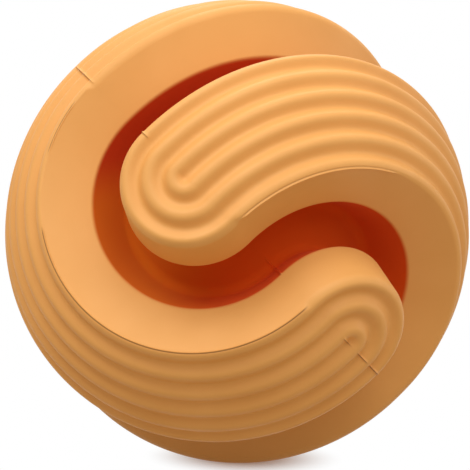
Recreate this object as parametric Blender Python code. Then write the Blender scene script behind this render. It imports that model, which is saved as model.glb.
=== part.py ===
"""Treat-dispensing rubber ball for dogs, as the two moulded half balls that are bonded together.

Units are metres, +Z is up and the origin is the ball's centre.

Each half ball is one turned form. Its section has an arm every sixth of a turn, with ribs over
the arm's outer face and a treat channel between each arm and the next. Turned half round about
the middle of one arm, the section gives a round cap at each end, two half rings between them and
three channels, all open at the flat face. The two halves are alike. Their sections match where
they meet, so the upper one is bonded on with its turning axis one arm further round: each cap
then runs on into a half ring of the other half, and the channels join into one winding path.
The caps have soft edges and the half rings crisp ones, which soften only next to the flat face.
"""

import math

import bmesh
import bpy
from mathutils import Matrix, Vector

# The whole ball
BALL_RADIUS = 0.0425  # over the ridge tops
BOND_GAP = 0.0003  # bond line between the two flat faces
ARMS_ROUND = 6  # arms in a full turn of the section

# Ribs over each arm's outer face
GROOVES_PER_ARM = 5
GROOVE_DEPTH = 0.0006
RIDGE_MARGIN = 0.0008  # from the outermost ridge top to the arm's edge

# Treat channel between two arms
MOUTH_WIDTH = 0.0199
THROAT_WIDTH = 0.0076
THROAT_RADIUS = 0.0340  # from the ball's centre to the throat's edges
FLOOR_WIDTH = 0.0094
CORE_RADIUS = 0.0239  # from the ball's centre to the channel's floor

# Rounding of the section's corners
SOFT_EDGE_ROUND = 0.0030  # round each cap
CRISP_EDGE_ROUND = 0.0003  # along the half rings
THROAT_ROUND = 0.0012
FLOOR_ROUND = 0.0016

# How the ball lies: the bond plane's tilt, and the lower half's turning axis within that plane
BOND_TILT = math.radians(45)
AXIS_YAW = math.radians(-120)

# Fineness of the mesh
TURN_STEPS = 28
STEPS_PER_RIDGE = 4
SOFT_EDGE_STEPS = 4
CRISP_EDGE_STEPS = 1
ROUND_STEPS = 2
FLOOR_STEPS = 2
SIDE_SHARE = 0.95  # how much of the room on a side its roundings may take
MERGE_DISTANCE = 0.000001
SHARP_ANGLE = math.radians(35)

RUBBER_COLOUR = (0.80, 0.41, 0.15, 1)
RUBBER_ROUGHNESS = 0.6
RUBBER_METALLIC = 0

CENTRE = Vector((0, 0, 0))
TURNING_AXIS = Vector((1, 0, 0))


def clear_scene():
    for item in list(bpy.data.objects):
        bpy.data.objects.remove(item)


def arm_spacing():
    """Angle from the middle of one arm to the middle of the next."""
    return 2 * math.pi / ARMS_ROUND


def arm_half_angle():
    """Angle from an arm's middle to its edge, where the channel's mouth begins."""
    return arm_spacing() / 2 - math.asin(MOUTH_WIDTH / 2 / BALL_RADIUS)


def outermost_ridge():
    """Angle from an arm's middle to its outermost ridge top."""
    return arm_half_angle() - RIDGE_MARGIN / BALL_RADIUS


def section_point(radius, angle):
    """Point of the section at a radius from the centre and an angle from the turning axis."""
    return Vector((radius * math.cos(angle), radius * math.sin(angle), 0))


def groove_depth_at(turn):
    """How deep the ribs' cosine wave lies below the ridge tops at an angle from an arm's middle."""
    pitch = 2 * outermost_ridge() / GROOVES_PER_ARM
    return GROOVE_DEPTH * (1 + math.cos(2 * math.pi * turn / pitch)) / 2


def mouth_corner():
    """Sharp corner of a channel's wall at its mouth. The channel's middle lies at angle 0."""
    radius = BALL_RADIUS - groove_depth_at(arm_half_angle())
    return section_point(radius, -math.asin(MOUTH_WIDTH / 2 / BALL_RADIUS))


def throat_corner():
    return section_point(THROAT_RADIUS, -math.asin(THROAT_WIDTH / 2 / THROAT_RADIUS))


def soft_edge():
    """Middle of a soft edge's arc, and where the arc meets the channel's wall.

    The arc touches the ball from inside and the wall from within the rubber, so its middle is a
    rounding away from the wall's line and a ball's radius less a rounding away from the centre.
    """
    along = (throat_corner() - mouth_corner()).normalized()
    into_rubber = Vector((-along.y, along.x, 0))
    start = mouth_corner() + into_rubber * SOFT_EDGE_ROUND
    reach = BALL_RADIUS - SOFT_EDGE_ROUND
    rise = start.dot(along)
    middle = start - along * (rise + math.sqrt(rise**2 - start.length_squared + reach**2))
    return middle, middle - into_rubber * SOFT_EDGE_ROUND


def soft_radius(turn):
    """Radius over a soft-edged arm's ridge tops, which falls away where its edge's arc begins."""
    middle, _ = soft_edge()
    past = abs(turn) - arm_spacing() / 2 - math.atan2(middle.y, middle.x)
    if past < 0:
        return BALL_RADIUS
    across = middle.length * math.sin(past)
    return middle.length * math.cos(past) + math.sqrt(SOFT_EDGE_ROUND**2 - across**2)


def ribbed_point(turn, soft):
    """Point on an arm's outer face at an angle from its middle, which lies at angle 0."""
    radius = soft_radius(turn) if soft else BALL_RADIUS
    return section_point(radius - groove_depth_at(turn), turn)


def turned(point, turn):
    return Matrix.Rotation(turn, 3, "Z") @ point


def rib_corners(middle, from_side, to_side, soft):
    """Points over the ribs. A side is -1 or 1 for the arm's outermost ridges and 0 for its middle."""
    steps_to_side = GROOVES_PER_ARM * STEPS_PER_RIDGE // 2
    step = outermost_ridge() / steps_to_side
    numbers = range(from_side * steps_to_side, to_side * steps_to_side + 1)
    return [(turned(ribbed_point(number * step, soft), middle), 0, 0) for number in numbers]


def arc(middle, start, end, steps):
    """Points of an arc about a middle, from its start to its end."""
    radius = (start - middle).length
    towards_start = (start - middle).normalized()
    towards_end = (end - middle).normalized()
    shares = [number / steps for number in range(steps + 1)]
    return [middle + towards_start.slerp(towards_end, share) * radius for share in shares]


def edge_corners(middle, side, soft):
    """From an arm's outermost ridge on to the channel's wall, round a soft or a crisp edge.

    Both kinds have as many points and end at the same place on the wall.
    """
    arc_middle, wall_end = soft_edge()
    if soft:
        ridge = turned(ribbed_point(outermost_ridge(), soft), -arm_spacing() / 2)
        points = arc(arc_middle, ridge, wall_end, SOFT_EDGE_STEPS)[1:]
        corners = [(point, 0, 0) for point in points]
    else:
        halfway = mouth_corner().lerp(wall_end, 0.5)
        corner = (mouth_corner(), CRISP_EDGE_ROUND, CRISP_EDGE_STEPS)
        corners = [corner, (halfway, 0, 0), (wall_end, 0, 0)]
    turn = middle + side * arm_spacing() / 2
    placed = []
    for point, rounding, steps in corners:
        mirrored = Vector((point.x, side * point.y, 0))
        placed.append((turned(mirrored, turn), rounding, steps))
    return placed[::side]


def wall_corners(middle, side):
    """Throat edge and floor corner of one wall of a channel, in that order."""
    corners = []
    for width, radius, rounding in (
        (THROAT_WIDTH, THROAT_RADIUS, THROAT_ROUND),
        (FLOOR_WIDTH, CORE_RADIUS, FLOOR_ROUND),
    ):
        turn = side * math.asin(width / 2 / radius)
        corners.append((section_point(radius, middle + turn), rounding, ROUND_STEPS))
    return corners


def floor_corners(middle):
    """Points along the channel's floor, between its two corners."""
    reach = math.asin(FLOOR_WIDTH / 2 / CORE_RADIUS)
    turns = [reach * (2 * number / FLOOR_STEPS - 1) for number in range(1, FLOOR_STEPS)]
    return [(section_point(CORE_RADIUS, middle + turn), 0, 0) for turn in turns]


def channel_corners(middle):
    """Down one wall of a channel, across its floor and up the other wall."""
    return wall_corners(middle, -1) + floor_corners(middle) + wall_corners(middle, 1)[::-1]


def section_corners(all_soft):
    """The half ball's section from pole to pole: cap, ring, ring, cap, and the channels between."""
    last = ARMS_ROUND // 2
    corners = []
    for number in range(last + 1):
        middle = number * arm_spacing()
        soft = all_soft or number in (0, last)
        starts_inside = number > 0
        goes_on = number < last
        if starts_inside:
            corners += edge_corners(middle, -1, soft)
        corners += rib_corners(middle, -int(starts_inside), int(goes_on), soft)
        if goes_on:
            corners += edge_corners(middle, 1, soft)
            corners += channel_corners(middle + arm_spacing() / 2)
    return corners


def rounded(before, corner, after):
    """The arc that replaces a corner, tangent to both of its sides and no longer than their room."""
    point, radius, steps = corner
    if not radius:
        return [point]
    sides = []
    rooms = []
    for neighbour, neighbour_radius, _ in (before, after):
        side = neighbour - point
        room = side.length / 2 if neighbour_radius else side.length
        sides.append(side.normalized())
        rooms.append(SIDE_SHARE * room)
    half_angle = sides[0].angle(sides[1]) / 2
    tangent = min(radius / math.tan(half_angle), *rooms)
    radius = tangent * math.tan(half_angle)
    centre = point + (sides[0] + sides[1]).normalized() * (radius / math.sin(half_angle))
    return arc(centre, point + sides[0] * tangent, point + sides[1] * tangent, steps)


def section_outline(all_soft):
    corners = section_corners(all_soft)
    outline = [corners[0][0]]
    for before, corner, after in zip(corners, corners[1:], corners[2:]):
        outline += rounded(before, corner, after)
    return outline + [corners[-1][0]]


def half_ball_mesh():
    """Turns the section half round, closes the poles and fills the flat face that it leaves open.

    The first and last sections lie in the flat face. There every edge is soft, so that the half
    rings meet the other half's caps without a step.
    """
    shape = bmesh.new()
    at_face = section_outline(all_soft=True)
    elsewhere = section_outline(all_soft=False)
    rows = []
    for number in range(TURN_STEPS + 1):
        outline = at_face if number in (0, TURN_STEPS) else elsewhere
        turn = Matrix.Rotation(-math.pi * number / TURN_STEPS, 3, TURNING_AXIS)
        rows.append([shape.verts.new(turn @ point) for point in outline])
    for row, after in zip(rows, rows[1:]):
        for corners in zip(row, row[1:], after[1:], after):
            shape.faces.new(corners)
    bmesh.ops.remove_doubles(shape, verts=shape.verts, dist=MERGE_DISTANCE)
    rim = [edge for edge in shape.edges if edge.is_boundary]
    bmesh.ops.triangle_fill(shape, edges=rim, use_beauty=True)
    bmesh.ops.recalc_face_normals(shape, faces=shape.faces)
    mesh = bpy.data.meshes.new("half_ball")
    shape.to_mesh(mesh)
    shape.free()
    mesh.shade_smooth()
    mesh.set_sharp_from_angle(angle=SHARP_ANGLE)
    return mesh


def rubber(name):
    material = bpy.data.materials.new(name)
    material.use_nodes = True
    shader = material.node_tree.nodes["Principled BSDF"]
    shader.inputs["Base Color"].default_value = RUBBER_COLOUR
    shader.inputs["Roughness"].default_value = RUBBER_ROUGHNESS
    shader.inputs["Metallic"].default_value = RUBBER_METALLIC
    return material


def half_ball(name, ball, location, rotation):
    """One half ball, placed in the bond plane's frame. A half as made lies below that plane."""
    mesh = half_ball_mesh()
    mesh.materials.append(rubber(name + "_rubber"))
    half = bpy.data.objects.new(name, mesh)
    bpy.context.collection.objects.link(half)
    half.parent = ball
    half.location = location
    half.rotation_euler = rotation
    return half


def ball_frame():
    """The bond plane's frame: its XY plane is the bond plane and its X the lower half's axis."""
    ball = bpy.data.objects.new("ball_frame", None)
    ball.rotation_mode = "ZYX"
    ball.rotation_euler = (0, BOND_TILT, AXIS_YAW)
    bpy.context.collection.objects.link(ball)
    return ball


def main():
    clear_scene()
    ball = ball_frame()
    half_ball("lower_half_ball", ball, (0, 0, -BOND_GAP / 2), (0, 0, 0))
    half_ball("upper_half_ball", ball, (0, 0, BOND_GAP / 2), (math.pi, 0, arm_spacing()))


main()
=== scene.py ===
"""Looks of the treat dispensing ball: two half balls in natural rubber on a white studio floor.

The ball is two alike mouldings. Each is a section turned half round about an axis that lies in
its flat face, and the upper one is bonded on with its turning axis one arm further round. Every
length is in metres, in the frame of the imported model: +Z up, the origin at the ball's centre.
"""

import math

import bpy
import numpy as np
from bpy.props import FloatProperty, FloatVectorProperty, IntProperty, PointerProperty
from bpy.types import Operator, Panel, PropertyGroup
from mathutils import Matrix, Vector


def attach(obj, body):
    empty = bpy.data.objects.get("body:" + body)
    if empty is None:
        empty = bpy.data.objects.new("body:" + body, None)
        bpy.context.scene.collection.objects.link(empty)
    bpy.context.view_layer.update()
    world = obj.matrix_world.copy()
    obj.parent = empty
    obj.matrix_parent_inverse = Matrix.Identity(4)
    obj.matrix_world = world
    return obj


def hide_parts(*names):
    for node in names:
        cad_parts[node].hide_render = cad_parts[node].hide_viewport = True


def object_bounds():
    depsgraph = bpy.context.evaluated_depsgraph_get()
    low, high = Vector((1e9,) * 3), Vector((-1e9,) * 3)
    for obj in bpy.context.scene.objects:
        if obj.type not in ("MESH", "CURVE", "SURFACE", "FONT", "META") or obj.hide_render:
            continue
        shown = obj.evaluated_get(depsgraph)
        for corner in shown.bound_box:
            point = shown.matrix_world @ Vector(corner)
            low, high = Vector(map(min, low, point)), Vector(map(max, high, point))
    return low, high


bl_info = {
    "name": "Treat Dispensing Ball",
    "version": (1, 0, 0),
    "blender": (4, 5, 0),
    "location": "View3D > Sidebar > Treat Ball",
    "description": "Makes a ribbed rubber treat ball from two turned half balls, and its studio",
    "category": "Add Mesh",
}

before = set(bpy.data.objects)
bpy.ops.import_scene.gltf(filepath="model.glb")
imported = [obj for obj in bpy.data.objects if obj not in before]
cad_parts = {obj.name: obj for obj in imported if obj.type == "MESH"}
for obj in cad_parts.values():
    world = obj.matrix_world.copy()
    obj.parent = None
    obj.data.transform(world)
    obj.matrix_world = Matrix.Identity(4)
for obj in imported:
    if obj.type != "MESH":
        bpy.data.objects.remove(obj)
CAD_BOX = [list(corner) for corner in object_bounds()]
FLOOR_HEIGHT = CAD_BOX[0][2]

BODY = "root"
ARMS_ROUND = 6
GROOVES_PER_ARM = 5
MILLIMETRE = 0.001
COLOUR = {"subtype": "COLOR", "size": 3, "min": 0, "max": 1}
WHITE = (1.0, 1.0, 1.0)
BLACK = (0.0, 0.0, 0.0)


class BallSizes(PropertyGroup):
    """Sizes of the ball's section and of its mesh."""

    ball_radius: FloatProperty(
        name="Ball radius",
        description="From the ball's centre to the ridge tops",
        default=0.04242,
        unit="LENGTH",
    )
    bond_line: FloatProperty(
        name="Bond line",
        description="Width of the hairline between the two flat faces",
        default=0.000004,
        unit="LENGTH",
    )
    skirt: FloatProperty(
        name="Skirt",
        description="How far each half's section runs straight on past its turning axis",
        default=0.0003,
        unit="LENGTH",
    )
    groove_depth: FloatProperty(
        name="Groove depth",
        description="From a ridge top down to the bottom of the groove beside it",
        default=0.0011,
        unit="LENGTH",
    )
    groove_shape: FloatProperty(
        name="Groove shape",
        description="Power of the ribs' wave: above 1 the ridges are broad and the grooves narrow",
        default=1.25,
        subtype="FACTOR",
    )
    ridge_margin: FloatProperty(
        name="Ridge margin",
        description="From the outermost ridge top to the arm's edge",
        default=0.0008,
        unit="LENGTH",
    )
    mouth_width: FloatProperty(
        name="Mouth width",
        description="Width of the channel between the edges of two arms",
        default=0.01950,
        unit="LENGTH",
    )
    throat_width: FloatProperty(
        name="Throat width",
        description="Least width of the channel, where it grips a treat",
        default=0.00788,
        unit="LENGTH",
    )
    throat_radius: FloatProperty(
        name="Throat radius",
        description="From the ball's centre to the edges of the throat",
        default=0.0340,
        unit="LENGTH",
    )
    floor_width: FloatProperty(
        name="Channel floor width",
        description="Width of the channel at its floor",
        default=0.0094,
        unit="LENGTH",
    )
    core_radius: FloatProperty(
        name="Core radius",
        description="From the ball's centre to the channel's floor",
        default=0.0239,
        unit="LENGTH",
    )
    soft_edge_round: FloatProperty(
        name="Soft edge rounding",
        description="Radius of the soft edges of the caps and of the middle channel",
        default=0.0022,
        unit="LENGTH",
    )
    crisp_edge_round: FloatProperty(
        name="Crisp edge rounding",
        description="Radius of the half rings' edges towards the caps, under the lip",
        default=0.0006,
        unit="LENGTH",
    )
    edge_blend: FloatProperty(
        name="Edge blend",
        description="Turn next to the flat face where edges change fast and mesh rows stand closer",
        default=math.radians(3.2),
        unit="ROTATION",
    )
    throat_round: FloatProperty(
        name="Throat rounding",
        description="Radius of the throat's edges",
        default=0.0009,
        unit="LENGTH",
    )
    floor_round: FloatProperty(
        name="Floor rounding",
        description="Radius of the corners at the channel's floor",
        default=0.0016,
        unit="LENGTH",
    )
    lip_height: FloatProperty(
        name="Lip height",
        description="How far the mould's fine lip stands up along the crisp edges",
        default=0.00030,
        unit="LENGTH",
    )
    lip_width: FloatProperty(
        name="Lip width",
        description="Width of that lip, from its middle to where it has all but gone",
        default=0.00010,
        unit="LENGTH",
    )
    # Painted shade: width of the dark line painted at the lips' feet, in place of the lips' shadow.
    painted_shade_width: FloatProperty(
        name="Crevice width",
        description="Width of the dark crevice at the foot of the lips, from its middle",
        default=0.00010,
        unit="LENGTH",
    )
    flash_height: FloatProperty(
        name="Flash height",
        description="How far the trimmed flash stands up where some is left at the bond line",
        default=0.0003,
        unit="LENGTH",
    )
    flash_width: FloatProperty(
        name="Flash width",
        description="From the bond line to where the flash has gone",
        default=0.0003,
        unit="LENGTH",
    )
    steps_per_groove: IntProperty(
        name="Steps per groove",
        description="Mesh steps from one ridge top to the next",
        default=16,
        min=4,
    )
    steps_per_corner: IntProperty(
        name="Steps per corner",
        description="Mesh steps round each rounded corner of the section",
        default=8,
        min=2,
    )
    steps_per_edge: IntProperty(
        name="Steps per edge",
        description="Mesh steps from an arm's outermost ridge round its soft or crisp edge",
        default=24,
        min=20,
    )
    steps_per_side: IntProperty(
        name="Steps per side",
        description="Mesh steps along each straight side of the section",
        default=6,
        min=1,
    )
    turn_steps: IntProperty(
        name="Turn steps",
        description="Mesh steps of the section's half turn, apart from those at the bond line",
        default=144,
        min=12,
    )


class BallLie(PropertyGroup):
    """How the ball lies on the floor."""

    bond_tilt: FloatProperty(
        name="Bond tilt",
        description="Tilt of the plane where the two halves meet",
        default=math.radians(45),
        unit="ROTATION",
    )
    axis_yaw: FloatProperty(
        name="Axis yaw",
        description="Turn of the lower half's axis within that plane",
        default=math.radians(-120),
        unit="ROTATION",
    )


class RubberLook(PropertyGroup):
    """Colours and finish of the natural rubber."""

    colour: FloatVectorProperty(
        name="Rubber",
        description="The rubber's own colour",
        default=(0.878, 0.42, 0.115),
        **COLOUR,
    )
    dull_colour: FloatVectorProperty(
        name="Dull patches",
        description="The colour that broad, faint patches of it turn to",
        default=(0.845, 0.395, 0.104),
        **COLOUR,
    )
    # Painted shade: the dark colour of the lines painted at the lips' feet and on the lower half's
    # flash, in place of their shadows.
    painted_shade_colour: FloatVectorProperty(
        name="Crevices",
        description="The colour in the fine crevices at the foot of lips and flash",
        default=(0.20, 0.06, 0.01),
        **COLOUR,
    )
    # Painted light: the channel's painted shade made lighter at the ball's left, where light falls
    # in.
    lightened_colour: FloatVectorProperty(
        name="Bleached channel",
        description="The colour down in the channel at the ball's left, where light falls in",
        default=(0.67, 0.14, 0.003),
        **COLOUR,
    )
    # Painted shade: a dark red down in the channel, standing in for its shade and the light
    # reflected within it.
    channel_shade_colour: FloatVectorProperty(
        name="Channel",
        description="The colour down in the channel elsewhere, where light has never bleached it",
        default=(0.76, 0.092, 0.002),
        **COLOUR,
    )
    # Painted shade: a still darker red down in the channel near the ball's top.
    crown_shade_colour: FloatVectorProperty(
        name="Channel at the top",
        description="The darker colour down in the channel near the ball's top",
        default=(0.56, 0.043, 0.001),
        **COLOUR,
    )
    roughness: FloatProperty(
        name="Roughness",
        description="Middle roughness of the moulded skin",
        default=0.50,
        min=0,
        max=1,
        subtype="FACTOR",
    )
    gloss: FloatProperty(
        name="Gloss",
        description="How strongly the skin reflects",
        default=0.35,
        min=0,
        max=1,
        subtype="FACTOR",
    )
    refraction: FloatProperty(
        name="Refractive index",
        description="Refractive index of the rubber",
        default=1.48,
        min=1,
    )
    patch_scale: FloatProperty(
        name="Patch scale",
        description="Scale of the noise that makes the dull patches",
        default=70.0,
    )
    grain_scale: FloatProperty(
        name="Grain scale",
        description="Scale of the noise that makes the fine grain",
        default=1800.0,
    )
    grain_height: FloatProperty(
        name="Grain height",
        description="Height of the fine grain",
        default=0.00003,
        unit="LENGTH",
    )
    grain_strength: FloatProperty(
        name="Grain strength",
        description="Share of the grain's height that shows",
        default=0.25,
        min=0,
        max=1,
        subtype="FACTOR",
    )


class StageLook(PropertyGroup):
    """The camera, the floor and the lamps."""

    azimuth: FloatProperty(
        name="Camera azimuth",
        description="How far the camera stands to the left of the ball's front",
        default=math.radians(8.796),
        unit="ROTATION",
    )
    elevation: FloatProperty(
        name="Camera elevation",
        description="How far above the floor's level the camera looks from",
        default=math.radians(7.786),
        unit="ROTATION",
    )
    roll: FloatProperty(
        name="Camera roll",
        description="Turn of the camera about its own line of sight",
        default=math.radians(1.354),
        unit="ROTATION",
    )
    distance: FloatProperty(
        name="Camera distance",
        description="From the ball's centre to the camera",
        default=0.7352,
        unit="LENGTH",
    )
    lens: FloatProperty(
        name="Lens",
        description="Focal length of the lens",
        default=306.20,
        unit="CAMERA",
    )
    aim_right: FloatProperty(
        name="Aim right",
        description="How far to the right of the ball's centre the camera aims",
        default=-0.000348,
        unit="LENGTH",
    )
    aim_up: FloatProperty(
        name="Aim up",
        description="How far above the ball's centre the camera aims",
        default=-0.000568,
        unit="LENGTH",
    )
    floor_radius: FloatProperty(
        name="Floor radius",
        description="Radius of the round studio floor",
        default=4.0,
        unit="LENGTH",
    )
    floor_colour: FloatVectorProperty(
        name="Floor",
        description="Colour of the floor for the light that falls on it",
        default=(0.235, 0.20, 0.14),
        **COLOUR,
    )
    shadow_middle: FloatVectorProperty(
        name="Shadow middle",
        description="Where the contact shadow's middle lies on the floor",
        size=2,
        default=(0.0026, 0.002),
        unit="LENGTH",
    )
    shadow_core: FloatProperty(
        name="Shadow core",
        description="Distance from its middle within which the floor is plain paint",
        default=0.004,
        unit="LENGTH",
    )
    shadow_reach: FloatProperty(
        name="Shadow reach",
        description="Distance from its middle beyond which the floor is plain white",
        default=0.019,
        unit="LENGTH",
    )
    shadow_paint: FloatVectorProperty(
        name="Shadow paint",
        description="Colour that is seen of the floor where the contact shadow lies on it",
        default=(0.95, 0.95, 0.95),
        **COLOUR,
    )
    shadow_glow: FloatProperty(
        name="Shadow glow",
        description="How much the floor glows in the middle of the shadow",
        default=0.10,
        min=0,
        max=1,
    )
    floor_glow_colour: FloatVectorProperty(
        name="Floor glow's colour",
        description="Tint of the light that the floor gives the ball, warm as if from the ball",
        default=(0.93, 0.78, 0.53),
        **COLOUR,
    )
    floor_glow: FloatProperty(
        name="Floor glow",
        description="How much the floor glows for the light that falls on the ball from below",
        default=0.205,
        min=0,
    )
    fill_level: FloatProperty(
        name="Fill level",
        description="Strength of the even light from all round",
        default=0.41,
        min=0,
    )


def arm_spacing():
    """Angle from the middle of one arm to the middle of the next."""
    return 2 * math.pi / ARMS_ROUND


def mouth_half_angle(sizes):
    """Angle from a channel's middle to the edge of the arm beside it."""
    return math.asin(sizes.mouth_width / 2 / sizes.ball_radius)


def arm_half_angle(sizes):
    """Angle from an arm's middle to its edge."""
    return arm_spacing() / 2 - mouth_half_angle(sizes)


def outermost_ridge(sizes):
    """Angle from an arm's middle to its outermost ridge top."""
    return arm_half_angle(sizes) - sizes.ridge_margin / sizes.ball_radius


def polar(radius, angle):
    """A point of the section as a complex number: its real part runs along the turning axis."""
    return radius * np.exp(1j * np.asarray(angle, float))


def rib_wave(sizes, turn):
    """How deep an arm's face lies at an angle from its middle, from 0 on a ridge to 1 in a groove.

    It is (1 + cos(2 pi turn / pitch)) / 2 to the power of the groove shape.
    """
    pitch = 2 * outermost_ridge(sizes) / GROOVES_PER_ARM
    return ((1 + np.cos(2 * np.pi * turn / pitch)) / 2) ** sizes.groove_shape


def wall_ends(sizes):
    """Sharp corners of a channel's wall, at its mouth and its throat, before they are rounded.

    The channel's middle lies at angle 0 and the arm before it.
    """
    edge_radius = sizes.ball_radius - sizes.groove_depth * rib_wave(sizes, arm_half_angle(sizes))
    throat_reach = math.asin(sizes.throat_width / 2 / sizes.throat_radius)
    return (
        polar(edge_radius, -mouth_half_angle(sizes)),
        polar(sizes.throat_radius, -throat_reach),
    )


def soft_edge(sizes):
    """Middle of the arc that rounds a soft edge, and where that arc meets the channel's wall.

    The arc touches the ball from inside and the wall from within the rubber. With E the wall's
    outer corner, w its unit direction and r the rounding, the middle is E + i w r + w s, where s
    is the smaller solution of |middle| = ball radius - r.
    """
    corner, throat = wall_ends(sizes)
    along = (throat - corner) / abs(throat - corner)
    start = corner + 1j * along * sizes.soft_edge_round
    inwards = (start * np.conj(along)).real
    reach = sizes.ball_radius - sizes.soft_edge_round
    shift = -inwards - math.sqrt(inwards**2 - abs(start) ** 2 + reach**2)
    middle = start + along * shift
    return middle, middle - 1j * along * sizes.soft_edge_round


def soft_radius(sizes, turn):
    """Radius over a soft-edged arm's ridge tops: the ball's, then that of the edge's arc.

    Where a ray at angle d from the arc's middle M meets the arc, its length is |M| cos d +
    sqrt(r^2 - (|M| sin d)^2).
    """
    middle, _ = soft_edge(sizes)
    from_middle = np.abs(turn) - (np.angle(middle) + arm_spacing() / 2)
    across = abs(middle) * np.sin(from_middle)
    arc = abs(middle) * np.cos(from_middle) + np.sqrt(
        np.clip(sizes.soft_edge_round**2 - across**2, 0, None)
    )
    return np.where(from_middle > 0, arc, sizes.ball_radius)


def ribbed_face(sizes, turn, soft):
    """Points of an arm's face at angles from its middle: the radius over it less the rib wave."""
    over_ridges = np.where(soft, soft_radius(sizes, turn), sizes.ball_radius)
    return polar(over_ridges - sizes.groove_depth * rib_wave(sizes, turn), turn)


# The largest share of the straight side beside it that a rounded corner takes up.
CORNER_ROOM = 0.95


def rounded_corners(points, radii, steps):
    """An arc in place of each inner corner of a line of points, one row of steps + 1 points each.

    With u and v the unit vectors from a corner to its neighbours and h half the angle between
    them, the arc's centre lies radius / sin(h) along u + v. The arc starts and ends radius /
    tan(h) along u and v, and a radius that finds no room for that is made smaller.
    """
    corner = points[1:-1]
    to_before, to_after = points[:-2] - corner, points[2:] - corner
    u, v = to_before / abs(to_before), to_after / abs(to_after)
    half = np.arccos(np.clip((u * v.conj()).real, -1, 1)) / 2
    room = CORNER_ROOM * np.minimum(abs(to_before), abs(to_after))
    reach = np.minimum(radii / np.tan(half), room)
    middle = (u + v) / abs(u + v)
    centre = corner + middle * reach / np.cos(half)
    start, end = corner + u * reach - centre, corner + v * reach - centre
    sweep = np.angle(end / start)
    share = np.linspace(0, 1, steps + 1)
    return centre[:, None] + start[:, None] * np.exp(1j * sweep[:, None] * share)


def between(start, end, steps):
    """Points that part a straight side evenly, without its two ends."""
    return start + (end - start) * np.arange(1, steps) / steps


def soft_mouth(sizes):
    """From past an arm's outermost ridge round its soft edge to where the wall's flat begins."""
    middle, wall_end = soft_edge(sizes)
    ridge = outermost_ridge(sizes)
    start = polar(soft_radius(sizes, ridge), ridge - arm_spacing() / 2)
    turned = np.angle((wall_end - middle) / (start - middle))
    share = np.arange(1, sizes.steps_per_edge + 1) / sizes.steps_per_edge
    return middle + (start - middle) * np.exp(1j * turned * share)


def crisp_arc(sizes):
    """The arc of a crisp edge, where the arm's face turns into the channel's wall.

    It takes half of the edge's mesh steps.
    """
    corner, throat = wall_ends(sizes)
    face = (outermost_ridge(sizes) + arm_half_angle(sizes)) / 2
    before = ribbed_face(sizes, face, False) * polar(1, -arm_spacing() / 2)
    radii = np.array([sizes.crisp_edge_round])
    return rounded_corners(np.array([before, corner, throat]), radii, sizes.steps_per_edge // 2)[0]


def crisp_mouth(sizes):
    """The same stretch round a crisp edge, with as many points, closest together by the edge.

    A quarter of the steps go down the arm's face to the edge's arc, and what the arc leaves go
    down the wall.
    """
    _, wall_end = soft_edge(sizes)
    to_arm = polar(1, -arm_spacing() / 2)
    arc = crisp_arc(sizes)
    falls = sizes.steps_per_edge // 4
    share = 1 - (1 - np.arange(1, falls) / falls) ** 2
    ridge, arc_turn = outermost_ridge(sizes), np.angle(arc[0] / to_arm)
    fall = ribbed_face(sizes, ridge + (arc_turn - ridge) * share, False) * to_arm
    rest = sizes.steps_per_edge - len(fall) - len(arc)
    wall = arc[-1] + (wall_end - arc[-1]) * (np.arange(1, rest + 1) / rest) ** 2
    return np.concatenate([fall, arc, wall])


def channel_wall(sizes, soft):
    """One wall of a channel, from the arm's outermost ridge to the middle of the channel's floor.

    The channel's middle lies at angle 0 and the arm before it. The wall goes from the arm's edge
    to the throat and on to the floor, each corner rounded, and the floor is an arc of the core.
    """
    floor_reach = math.asin(sizes.floor_width / 2 / sizes.core_radius)
    mouth = soft_mouth(sizes) if soft else crisp_mouth(sizes)
    corners = np.array(
        [
            mouth[-1],
            wall_ends(sizes)[1],
            polar(sizes.core_radius, -floor_reach),
            polar(sizes.core_radius, -floor_reach / 2),
        ]
    )
    radii = np.array([sizes.throat_round, sizes.floor_round])
    throat_arc, floor_arc = rounded_corners(corners, radii, sizes.steps_per_corner)
    floor = polar(sizes.core_radius, np.linspace(-floor_reach / 2, 0, sizes.steps_per_side))
    return np.concatenate(
        [
            mouth,
            between(mouth[-1], throat_arc[0], sizes.steps_per_side),
            throat_arc,
            between(throat_arc[-1], floor_arc[0], sizes.steps_per_side),
            floor_arc,
            floor,
        ]
    )


def channel(sizes, soft_before, soft_after):
    """A whole channel: the wall of the arm before it, and the mirrored wall of the arm after it."""
    before = channel_wall(sizes, soft_before)
    after = channel_wall(sizes, soft_after).conj()[::-1]
    return np.concatenate([before, after[1:]])


def rib_turns(sizes, from_side, to_side):
    """Angles over an arm's ribs. A side is -1 or 1 for an outermost ridge and 0 for the middle."""
    steps = GROOVES_PER_ARM * sizes.steps_per_groove // 2
    numbers = np.arange(from_side * steps, to_side * steps + 1)
    return numbers / steps * outermost_ridge(sizes)


def soft_sides(all_soft):
    """Whether the arm before and the arm after each channel has a soft edge there.

    Only the half rings' edges towards the caps are crisp, unless all are soft.
    """
    return (True, all_soft), (True, True), (all_soft, True)


def section_outline(sizes, all_soft):
    """The half ball's section from pole to pole, as complex numbers: cap, ring, ring, cap.

    Arm number n stands at n times the arm spacing, and a channel half a spacing after it.
    """
    last = ARMS_ROUND // 2
    sides = soft_sides(all_soft)
    parts = []
    for number in range(last + 1):
        turns = rib_turns(sizes, -int(number > 0), int(number < last))
        soft_before = sides[max(number - 1, 0)][1]
        soft_after = sides[min(number, last - 1)][0]
        face = ribbed_face(sizes, turns, np.where(turns < 0, soft_before, soft_after))
        parts.append(face * polar(1, number * arm_spacing()))
        if number < last:
            across = channel(sizes, *sides[number])
            parts.append(across * polar(1, (number + 0.5) * arm_spacing()))
    outline = np.concatenate(parts)
    outline[0], outline[-1] = outline[0].real, outline[-1].real
    return outline


def outward(outline):
    """Unit normals of the section, pointing out of the rubber: its own direction turned right."""
    along = np.gradient(outline, axis=-1)
    return -1j * (along / abs(along))


def arc_lengths(outline):
    """Length along the section from its first point to each point."""
    return np.concatenate([[0], np.cumsum(abs(np.diff(outline)))])


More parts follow.
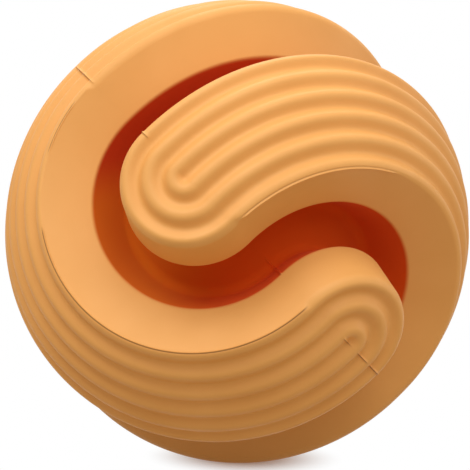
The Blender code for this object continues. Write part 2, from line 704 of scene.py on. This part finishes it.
def lip_middles(sizes):
    """Where the lips stand in the section: two thirds round each crisp edge."""
    arc = crisp_arc(sizes)
    place = arc[2 * len(arc) // 3]
    first_channel, last_channel = 0.5 * arm_spacing(), math.pi - 0.5 * arm_spacing()
    return np.array([place.conj() * polar(1, first_channel), place * polar(1, last_channel)])


def from_lip(sizes, outline):
    """Distance along the section from the nearer lip, less than 0 on the face side of it."""
    lengths = arc_lengths(outline)
    nearest = np.argmin(abs(outline[:, None] - lip_middles(sizes)[None, :]), axis=0)
    first, last = lengths[nearest[0]] - lengths, lengths - lengths[nearest[1]]
    return np.where(abs(first) < abs(last), first, last)


def bell(distance, width):
    """A smooth bump: exp(-(distance / width)^2)."""
    return np.exp(-((distance / width) ** 2))


# Along which turns of each half, in degrees from its flat face, its lips are left: start, end,
# the share of the lip's height and how dark the painted shade line at its foot is, which stands
# in for the lip's shadow. Both tables go by whether the half is the upper one, which is turned
# half a turn.
LIPS_LEFT = {
    False: ((0.5, 124.0, 0.4, 1.0), (150.0, 172.0, 0.3, 0.7)),
    True: ((2.0, 68.0, 1.2, 0.35),),
}
# The degrees over which a lip fades at its ends, and how far the painted shade line at its foot
# lies from its middle on the face side, in lip widths.
LIP_END = 2.5
LIP_FOOT = 2.0

# How crisp the half rings' edges are, by turn in degrees from the flat face: 0 is soft, 1 crisp.
EDGE_CRISP = {
    False: ((0.0, 0.0), (3.2, 1.0), (176.8, 1.0), (180.0, 0.0)),
    True: ((0.0, 0.0), (3.2, 1.0), (64.0, 1.0), (78.0, 0.55), (172.0, 0.55), (180.0, 0.0)),
}


def lips_left(turns, half_turn):
    """The lip's share and the darkness of the painted shade line at its foot at each turn, fading
    at the stretches' ends.
    """
    degrees = np.degrees(turns)
    lip, painted_shade = np.zeros_like(degrees), np.zeros_like(degrees)
    for start, end, height, dark in LIPS_LEFT[half_turn]:
        here = np.clip(np.minimum(degrees - start, end - degrees) / LIP_END, 0, 1)
        lip, painted_shade = np.maximum(lip, here * height), np.maximum(painted_shade, here * dark)
    return lip, painted_shade


# Where moulding flash is left at the bond line: the angles in the bond plane from the lower
# half's axis between which it stands, its share of the full height, and the radii in millimetres
# between which it stands. What the front has is repeated, half a turn on, behind.
FLASH_LEFT = (
    (-64.0, -43.4, 0.9, 40.0, 43.0),
    (-19.0, -14.2, 0.8, 39.5, 43.0),
    (35.0, 43.0, 0.9, 20.0, 34.2),
    (56.9, 61.2, 1.0, 40.0, 43.0),
    (63.6, 69.0, 1.0, 40.0, 43.0),
    (70.9, 76.4, 1.0, 40.0, 43.0),
)


def flash_share(angle, radius):
    """How much flash is left at a place in the bond plane, each stretch fading at its ends."""
    degrees = (np.degrees(angle) + 90) % 180 - 90
    share = np.zeros_like(degrees)
    for start, end, height, lowest, highest in FLASH_LEFT:
        middle, half = (start + end) / 2, (end - start) / 2
        here = (radius > MILLIMETRE * lowest) & (radius < MILLIMETRE * highest)
        for shift in (-180, 0, 180):
            inside = 1 - ((degrees + shift - middle) / half) ** 2
            share = np.maximum(share, here * height * np.sqrt(np.clip(inside, 0, 1)))
    return share


# Where the mesh rows lie down the straight skirt, as shares of it, and how many lie in each edge
# blend.
SKIRT_ROWS = (0.0, 0.15, 0.35, 0.6, 0.8)
BLEND_ROWS = 6


def mesh_rows(sizes):
    """The turn of each mesh row and its depth below the flat face, from one side to the other.

    The rows nearest the flat face run down the straight skirt, a small part of a millimetre
    apart, so that they can carry the flash. Closer steps over the edge blend follow, and then
    even ones.
    """
    down = np.array(SKIRT_ROWS) * sizes.skirt
    blend = np.arange(BLEND_ROWS) / BLEND_ROWS * sizes.edge_blend
    rest = math.pi - 2 * sizes.edge_blend
    middle = sizes.edge_blend + np.arange(sizes.turn_steps + 1) / sizes.turn_steps * rest
    start = np.concatenate([np.zeros(len(down)), blend])
    depth = np.concatenate([down, np.full(len(blend), sizes.skirt)])
    turns = np.concatenate([start, middle, math.pi - start[::-1]])
    depths = np.concatenate([depth, np.full(len(middle), sizes.skirt), depth[::-1]])
    return turns, depths


def crispness(turns, half_turn):
    """How crisp the half rings' edges are at each turn: 3 s^2 - 2 s^3, s read off EDGE_CRISP."""
    places, shares = zip(*EDGE_CRISP[half_turn])
    share = np.interp(np.degrees(turns), places, shares)
    return share**2 * (3 - 2 * share)


def half_ball_points(sizes, half_turn):
    """Mesh points of one half, as rows of turns by points of the section, and how dark each is.

    The section blends between soft and crisp edges by its turn, and its lips and the flash near
    the flat face move its points out along its normal. Its point (a, r), turned by t and lying d
    below the flat face, is (a, r cos t, -d - r sin t). The upper half is then turned half a turn
    about X and one arm spacing about Z. Flash is height * share * max(0, 1 - distance to the flat
    face / width). Painted shade darkens a thin line at the lips' feet, in place of the lips'
    shadow, and on the lower half it darkens the flash too, in place of the flash's shadow.
    """
    turns, depths = (rows[:, None] for rows in mesh_rows(sizes))
    crisp = section_outline(sizes, all_soft=False)
    soft = section_outline(sizes, all_soft=True)
    outline = soft + (crisp - soft) * crispness(turns, half_turn)
    lip, painted_shade = lips_left(turns, half_turn)
    along = from_lip(sizes, crisp)
    raised = sizes.lip_height * lip * bell(along, sizes.lip_width)
    # Painted shade: a thin dark line on the face side of each lip's foot, in place of the lip's
    # shadow.
    dark = painted_shade * bell(along + LIP_FOOT * sizes.lip_width, sizes.painted_shade_width)
    away = outline.imag * np.sin(turns) + depths
    arm = arm_spacing() if half_turn else 0.0
    side = np.where(turns < math.pi / 2, 1.0, -1.0)
    in_plane = np.angle(outline) * side * (-1.0 if half_turn else 1.0) + arm
    flash = flash_share(in_plane, np.abs(outline)) * np.clip(1 - away / sizes.flash_width, 0, 1)
    # Painted shade: on the lower half the flash is darkened too, in place of its shadow.
    if not half_turn:
        dark = np.maximum(dark, flash)
    section = outline + (raised + sizes.flash_height * flash) * outward(outline)
    x = np.broadcast_to(section.real, dark.shape)
    y = section.imag * np.cos(turns)
    z = -section.imag * np.sin(turns) - depths - sizes.bond_line / 2
    if half_turn:
        y, z = -y, -z
        cos, sin = math.cos(arm), math.sin(arm)
        x, y = x * cos - y * sin, x * sin + y * cos
    return np.stack([x, y, z], axis=-1), dark


def bond_frame(lie):
    """Turns the bond frame, whose XY plane is where the halves meet, into the ball's own frame."""
    return np.array(Matrix.Rotation(lie.bond_tilt, 3, "Y") @ Matrix.Rotation(lie.axis_yaw, 3, "Z"))


def turned_faces(rows, columns, skirt_rows):
    """Faces over a grid of rows whose end columns lie on the turning axis, and its flat face.

    Points are numbered row by row without those columns. Then come the first pole's points, one
    for each of the skirt's rows and one for all the turned rows, and the last pole's.
    """
    inner = columns - 2
    grid = np.arange(rows * inner).reshape(rows, inner)
    pole = np.full(rows, skirt_rows)
    pole[:skirt_rows] = np.arange(skirt_rows)
    pole[-skirt_rows:] = np.arange(skirt_rows)[::-1]
    first = rows * inner + pole
    last = first + skirt_rows + 1
    turned = pole[:-1] == pole[1:]
    near, far = grid[:-1], grid[1:]
    quads = np.stack([near[:, :-1], near[:, 1:], far[:, 1:], far[:, :-1]], axis=-1)
    first_side = np.stack([first[:-1], near[:, 0], far[:, 0], first[1:]], axis=-1)
    last_side = np.stack([near[:, -1], last[:-1], last[1:], far[:, -1]], axis=-1)
    rim = np.concatenate([first[:1], grid[-1], last[:1], grid[0][::-1]])
    return (
        quads.reshape(-1, 4).tolist()
        + first_side[~turned].tolist()
        + last_side[~turned].tolist()
        + first_side[turned][:, :3].tolist()
        + last_side[turned][:, [0, 1, 3]].tolist()
        + [rim.tolist()]
    )


# Edges of the mesh that turn by more than this are drawn sharp: the rims of the flat faces.
SHARP_FROM = math.radians(50)


def half_ball_object(name, sizes, lie, half_turn, material):
    """One half ball as a closed mesh: its section turned half round, and the flat face filled."""
    points, dark = half_ball_points(sizes, half_turn)
    rows, columns = points.shape[:2]
    skirt_rows = len(SKIRT_ROWS)
    poles = np.concatenate([points[: skirt_rows + 1, 0], points[: skirt_rows + 1, -1]])
    placed = np.concatenate([points[:, 1:-1].reshape(-1, 3), poles]) @ bond_frame(lie).T
    mesh = bpy.data.meshes.new(name)
    mesh.from_pydata(placed, [], turned_faces(rows, columns, skirt_rows))
    # The painted shade of the lips and flash goes to the material as a point attribute.
    layer = mesh.attributes.new("painted_shade", "FLOAT", "POINT")
    at_points = np.concatenate([dark[:, 1:-1].reshape(-1), np.zeros(len(poles))])
    layer.data.foreach_set("value", at_points.astype(np.float32))
    mesh.shade_smooth()
    mesh.set_sharp_from_angle(angle=SHARP_FROM)
    mesh.materials.append(material)
    mesh.update()
    half = bpy.data.objects.new(name, mesh)
    bpy.context.scene.collection.objects.link(half)
    return half


def new_node(tree, kind, place, **settings):
    """A node of a kind at a place in a tree, with its own settings and its inputs' plain values."""
    node = tree.nodes.new(kind)
    node.location = place
    for name, value in settings.items():
        if name in node.bl_rna.properties:
            setattr(node, name, value)
        else:
            node.inputs[name].default_value = value
    return node


def plug(tree, socket, source):
    """Gives an input another node's output, or a plain value: a number or a colour's three."""
    if isinstance(source, bpy.types.NodeSocket):
        tree.links.new(source, socket)
    elif socket.type == "RGBA":
        socket.default_value = (*source, 1)
    else:
        socket.default_value = source


def mapped(tree, place, value, old, new=(0.0, 1.0), shape="LINEAR"):
    """A value carried from an old range to a new one, and held at the new one's ends."""
    node = new_node(tree, "ShaderNodeMapRange", place, interpolation_type=shape)
    names = ("Value", "From Min", "From Max", "To Min", "To Max")
    for name, source in zip(names, (value, *old, *new)):
        plug(tree, node.inputs[name], source)
    return node.outputs["Result"]


def mixed(tree, place, kind, factor, first, second):
    """A mix of two numbers or colours: the first where the factor is 0, the second where 1."""
    node = new_node(tree, "ShaderNodeMix", place, data_type=kind)
    for name, source in (("Factor", factor), ("A", first), ("B", second)):
        plug(tree, node.inputs[name], source)
    return node.outputs["Result"]


def rubber_skin_group():
    """Node group of the moulded rubber skin: masks of its broad patches and of its fine grain.

    Both are noise of the object's own coordinates.
    """
    group = bpy.data.node_groups.new("rubber_skin", "ShaderNodeTree")
    for name, side in (
        ("Patch Scale", "INPUT"),
        ("Grain Scale", "INPUT"),
        ("Patches", "OUTPUT"),
        ("Grain", "OUTPUT"),
    ):
        group.interface.new_socket(name, in_out=side, socket_type="NodeSocketFloat")
    enter = new_node(group, "NodeGroupInput", (-900, 0))
    leave = new_node(group, "NodeGroupOutput", (-300, 0))
    place = new_node(group, "ShaderNodeTexCoord", (-900, 300))
    patches = new_node(
        group, "ShaderNodeTexNoise", (-600, 300), Detail=4.0, Roughness=0.55, Distortion=0.4
    )
    grain = new_node(group, "ShaderNodeTexNoise", (-600, 0), Detail=3.0, Roughness=0.6)
    for noise, scale, mask in (
        (patches, "Patch Scale", "Patches"),
        (grain, "Grain Scale", "Grain"),
    ):
        group.links.new(place.outputs["Object"], noise.inputs["Vector"])
        group.links.new(enter.outputs[scale], noise.inputs["Scale"])
        group.links.new(noise.outputs["Fac"], leave.inputs[mask])
    return group


# Where the rubber's looks change. The patch mask's values between which the dull colour sets in,
# and those between which the roughness rises, by how much below and above its middle. The radii
# between which the channel's painted shade sets in, a dark red standing in for the shade and
# inter-reflected light down in the channel. The places in the ball's frame between which that
# painted shade turns lighter towards -X, as painted light where light falls in, and those between
# which it darkens towards +Z, as more painted shade.
DULL_PATCHES = (0.35, 0.70)
ROUGH_PATCHES = (0.30, 0.70)
ROUGH_SPREAD = (-0.05, 0.06)
DEEP_RADII = (0.0345, 0.0334)
LIGHTENED_X = (-0.004, -0.020)
CROWN_Z = (0.006, 0.016)
# How much of the painted shade colour shows where a painted shade line is darkest.
PAINTED_SHADE_SHARE = 0.9
# How rough the skin is down in the channel.
DEEP_ROUGHNESS = 1.0


def channel_painted_shade(tree, place, look):
    """Painted shade down in the channel: painted lighter at the ball's left, where light falls in,
    and darker near its top.
    """
    axes = new_node(tree, "ShaderNodeSeparateXYZ", (-900, 900))
    tree.links.new(place, axes.inputs[0])
    lightened = mapped(tree, (-700, 1000), axes.outputs["X"], LIGHTENED_X, shape="SMOOTHSTEP")
    crown = mapped(tree, (-700, 1300), axes.outputs["Z"], CROWN_Z, shape="SMOOTHSTEP")
    tint = mixed(tree, (-500, 1000), "RGBA", lightened, look.channel_shade_colour, look.lightened_colour)
    return mixed(tree, (-300, 1100), "RGBA", crown, tint, look.crown_shade_colour)


def natural_rubber(look):
    """The ball's matte natural rubber, one finish for both halves.

    It has dull patches, a fine grain and painted shade lines at the lips' feet and on the lower
    half's flash. Below the throat's radius the channel is painted in dark reds that stand in for
    its shade, and is fully matte.
    """
    material = bpy.data.materials.new("natural_rubber")
    material.use_nodes = True
    tree = material.node_tree
    shader = tree.nodes["Principled BSDF"]
    shader.inputs["IOR"].default_value = look.refraction
    shader.inputs["Specular IOR Level"].default_value = look.gloss
    skin = new_node(tree, "ShaderNodeGroup", (-1200, 0))
    skin.node_tree = rubber_skin_group()
    skin.inputs["Patch Scale"].default_value = look.patch_scale
    skin.inputs["Grain Scale"].default_value = look.grain_scale
    patches = skin.outputs["Patches"]
    dull = mapped(tree, (-900, 100), patches, DULL_PATCHES)
    rubber = mixed(tree, (-700, 200), "RGBA", dull, look.colour, look.dull_colour)
    # Painted shade: the dark lines at the lips' feet and on the flash, read from the mesh.
    painted_shade = new_node(tree, "ShaderNodeAttribute", (-900, 400), attribute_name="painted_shade")
    share = new_node(tree, "ShaderNodeMath", (-700, 400), operation="MULTIPLY")
    share.inputs[1].default_value = PAINTED_SHADE_SHARE
    tree.links.new(painted_shade.outputs["Fac"], share.inputs[0])
    outside = mixed(tree, (-500, 300), "RGBA", share.outputs[0], rubber, look.painted_shade_colour)
    place = new_node(tree, "ShaderNodeTexCoord", (-1200, 700)).outputs["Object"]
    radius = new_node(tree, "ShaderNodeVectorMath", (-900, 700), operation="LENGTH")
    tree.links.new(place, radius.inputs[0])
    deep = mapped(tree, (-700, 700), radius.outputs["Value"], DEEP_RADII, shape="SMOOTHSTEP")
    spread = (look.roughness + change for change in ROUGH_SPREAD)
    rough = mapped(tree, (-500, -100), patches, ROUGH_PATCHES, spread)
    bump = new_node(
        tree,
        "ShaderNodeBump",
        (-300, -500),
        Strength=look.grain_strength,
        Distance=look.grain_height,
    )
    tree.links.new(skin.outputs["Grain"], bump.inputs["Height"])
    # Painted shade and painted light down in the channel.
    tint = channel_painted_shade(tree, place, look)
    for name, source in (
        ("Base Color", mixed(tree, (-300, 300), "RGBA", deep, outside, tint)),
        ("Roughness", mixed(tree, (-300, -100), "FLOAT", deep, rough, DEEP_ROUGHNESS)),
        ("Normal", bump.outputs["Normal"]),
    ):
        tree.links.new(source, shader.inputs[name])
    return material


class TREATBALL_OT_half_balls(Operator):
    """Makes the two half balls of natural rubber, which stand for the two solids of the model"""

    bl_idname = "treat_ball.half_balls"
    bl_label = "Make Half Balls"

    def execute(self, context):
        scene = context.scene
        material = natural_rubber(scene.treat_ball_rubber)
        for node, half_turn in (("lower_half_ball", False), ("upper_half_ball", True)):
            name = node.replace("_half_ball", "_rubber_half")
            half = half_ball_object(
                name, scene.treat_ball_sizes, scene.treat_ball_lie, half_turn, material
            )
            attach(half, BODY)
            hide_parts(node)
        return {"FINISHED"}


def floor_object(look):
    """A round flat floor under the ball: a fan of rings about its middle, radius * share^2."""
    rings, spokes = 12, 96
    radii = look.floor_radius * (np.arange(1, rings + 1) / rings) ** 2
    angles = np.arange(spokes) * 2 * np.pi / spokes
    around = radii[:, None] * np.exp(1j * angles)[None, :]
    points = np.stack(
        [around.real, around.imag, np.full(around.shape, FLOOR_HEIGHT)], axis=-1
    ).reshape(-1, 3)
    points = np.concatenate([points, [[0, 0, FLOOR_HEIGHT]]])
    grid = np.arange(rings * spokes).reshape(rings, spokes)
    turned = np.roll(grid, -1, axis=1)
    quads = np.stack([grid[:-1], grid[1:], turned[1:], turned[:-1]], axis=-1).reshape(-1, 4)
    centre = np.full(spokes, rings * spokes)
    fan = np.stack([centre, grid[0], turned[0]], axis=-1)
    mesh = bpy.data.meshes.new("studio_floor")
    mesh.from_pydata(points, [], quads.tolist() + fan.tolist())
    mesh.materials.append(floor_paint(look))
    mesh.update()
    floor = bpy.data.objects.new("studio_floor", mesh)
    bpy.context.scene.collection.objects.link(floor)
    return floor


def seen_directly(tree, place):
    """1 where the camera, or a mirror-like or clear surface, sees the surface, and 0 elsewhere."""
    path = new_node(tree, "ShaderNodeLightPath", place)
    x, y = place
    either = new_node(tree, "ShaderNodeMath", (x + 200, y), operation="MAXIMUM")
    any_of = new_node(tree, "ShaderNodeMath", (x + 400, y), operation="MAXIMUM")
    tree.links.new(path.outputs["Is Camera Ray"], either.inputs[0])
    tree.links.new(path.outputs["Is Glossy Ray"], either.inputs[1])
    tree.links.new(either.outputs[0], any_of.inputs[0])
    tree.links.new(path.outputs["Is Transmission Ray"], any_of.inputs[1])
    return any_of.outputs[0]


def floor_paint(look):
    """White floor that keeps the ball's contact shadow.

    Seen directly, it is paint near the ball, where the light falls on it, and turns into a plain
    white glow further out. For the light it is a floor of its own colour with an even, warm glow.
    """
    material = bpy.data.materials.new("studio_floor_paint")
    material.use_nodes = True
    tree = material.node_tree
    shader = tree.nodes["Principled BSDF"]
    shader.inputs["Roughness"].default_value = 1.0
    shader.inputs["Specular IOR Level"].default_value = 0.0
    place = new_node(tree, "ShaderNodeTexCoord", (-1400, 200))
    distance = new_node(tree, "ShaderNodeVectorMath", (-1200, 200), operation="DISTANCE")
    distance.inputs[1].default_value = (*look.shadow_middle, FLOOR_HEIGHT)
    tree.links.new(place.outputs["Object"], distance.inputs[0])
    fade = (look.shadow_core, look.shadow_reach)
    outside = mapped(tree, (-1000, 200), distance.outputs["Value"], fade, shape="SMOOTHSTEP")
    paint = mixed(tree, (-700, 200), "RGBA", outside, look.shadow_paint, BLACK)
    glow = mapped(tree, (-700, -100), outside, (0.0, 1.0), (look.shadow_glow, 1.0))
    seen = seen_directly(tree, (-1300, -400))
    for name, kind, for_light, for_eye, height in (
        ("Base Color", "RGBA", look.floor_colour, paint, 200),
        ("Emission Color", "RGBA", look.floor_glow_colour, WHITE, 0),
        ("Emission Strength", "FLOAT", look.floor_glow, glow, -200),
    ):
        source = mixed(tree, (-300, height), kind, seen, for_light, for_eye)
        tree.links.new(source, shader.inputs[name])
    return material


def white_surround(look):
    """World that looks white and gives only a low, even fill light."""
    world = bpy.data.worlds.new("studio_surround")
    world.use_nodes = True
    tree = world.node_tree
    background = tree.nodes["Background"]
    background.inputs["Color"].default_value = (*WHITE, 1)
    seen = seen_directly(tree, (-900, 0))
    level = mapped(tree, (-200, 0), seen, (0.0, 1.0), (look.fill_level, 1.0))
    tree.links.new(level, background.inputs["Strength"])
    bpy.context.scene.world = world


# Each lamp: name, degrees to the right of the camera, degrees above the floor, power in watts.
LAMPS = (
    ("left_key_lamp", -60, 55, 3.6),
    ("front_lamp", 0, 35, 1.55),
    ("top_lamp", 0, 75, 1.45),
    ("right_lamp", 30, 55, 1.55),
    ("right_side_lamp", 90, 15, 1.1),
    ("back_top_lamp", 180, 60, 2.7),
)
# How far every lamp stands from the ball's centre, and the length of its sides.
LAMP_DISTANCE = 1.0
LAMP_SIDE = 0.5


def direction_from_camera(look, right, up):
    """Unit vector towards a place so far round to the right of the camera and above the floor."""
    turn, rise = math.radians(right) - look.azimuth, math.radians(up)
    return Vector(
        (math.sin(turn) * math.cos(rise), -math.cos(turn) * math.cos(rise), math.sin(rise))
    )


def lamp_object(look, name, right, up, power):
    """A square soft lamp that faces the ball."""
    towards = direction_from_camera(look, right, up)
    data = bpy.data.lights.new(name, "AREA")
    data.shape = "SQUARE"
    data.size = LAMP_SIDE
    data.energy = power
    lamp = bpy.data.objects.new(name, data)
    lamp.location = towards * LAMP_DISTANCE
    lamp.rotation_euler = towards.to_track_quat("Z", "Y").to_euler()
    lamp.visible_camera = False
    bpy.context.scene.collection.objects.link(lamp)
    return lamp


def camera_object(look):
    """The camera at the photograph's viewing angle: its axes are built from the three angles."""
    back = direction_from_camera(look, 0, math.degrees(look.elevation))
    level = Vector((0, 0, 1)).cross(back).normalized()
    upright = back.cross(level)
    right = level * math.cos(look.roll) + upright * math.sin(look.roll)
    up = upright * math.cos(look.roll) - level * math.sin(look.roll)
    data = bpy.data.cameras.new("studio_camera")
    data.lens = look.lens
    data.clip_start = 0.01
    camera = bpy.data.objects.new("studio_camera", data)
    axes = Matrix((right, up, back)).transposed().to_4x4()
    place = back * look.distance + right * look.aim_right + up * look.aim_up
    camera.matrix_world = Matrix.Translation(place) @ axes
    bpy.context.scene.collection.objects.link(camera)
    return camera


class TREATBALL_OT_stage(Operator):
    """Makes the white floor and surround, the soft lamps and the camera"""

    bl_idname = "treat_ball.stage"
    bl_label = "Make Stage"

    def execute(self, context):
        scene = context.scene
        look = scene.treat_ball_stage
        floor_object(look)
        white_surround(look)
        for lamp in LAMPS:
            lamp_object(look, *lamp)
        scene.camera = camera_object(look)
        scene.view_settings.view_transform = "Standard"
        return {"FINISHED"}


class TREATBALL_PT_panel(Panel):
    """Lists the ball's pieces and stage in the sidebar."""

    bl_idname = "TREATBALL_PT_panel"
    bl_label = "Treat Ball"
    bl_space_type = "VIEW_3D"
    bl_region_type = "UI"
    bl_category = "Treat Ball"

    def draw(self, context):
        layout = self.layout
        layout.operator(TREATBALL_OT_half_balls.bl_idname)
        layout.operator(TREATBALL_OT_stage.bl_idname)
        for name in GROUPS:
            group = getattr(context.scene, name)
            box = layout.box()
            for setting in group.__annotations__:
                box.prop(group, setting)


GROUPS = {
    "treat_ball_sizes": BallSizes,
    "treat_ball_lie": BallLie,
    "treat_ball_rubber": RubberLook,
    "treat_ball_stage": StageLook,
}
TOOLS = (TREATBALL_OT_half_balls, TREATBALL_OT_stage, TREATBALL_PT_panel)


def register():
    """Adds the settings, the operators and the panel to Blender."""
    for name, group in GROUPS.items():
        bpy.utils.register_class(group)
        setattr(bpy.types.Scene, name, PointerProperty(type=group))
    for tool in TOOLS:
        bpy.utils.register_class(tool)


def unregister():
    """Takes them out again."""
    for tool in reversed(TOOLS):
        bpy.utils.unregister_class(tool)
    for name, group in reversed(GROUPS.items()):
        delattr(bpy.types.Scene, name)
        bpy.utils.unregister_class(group)


def main():
    """Makes the ball and its stage."""
    register()
    bpy.ops.treat_ball.half_balls()
    bpy.ops.treat_ball.stage()


if __name__ == "__main__":
    main()
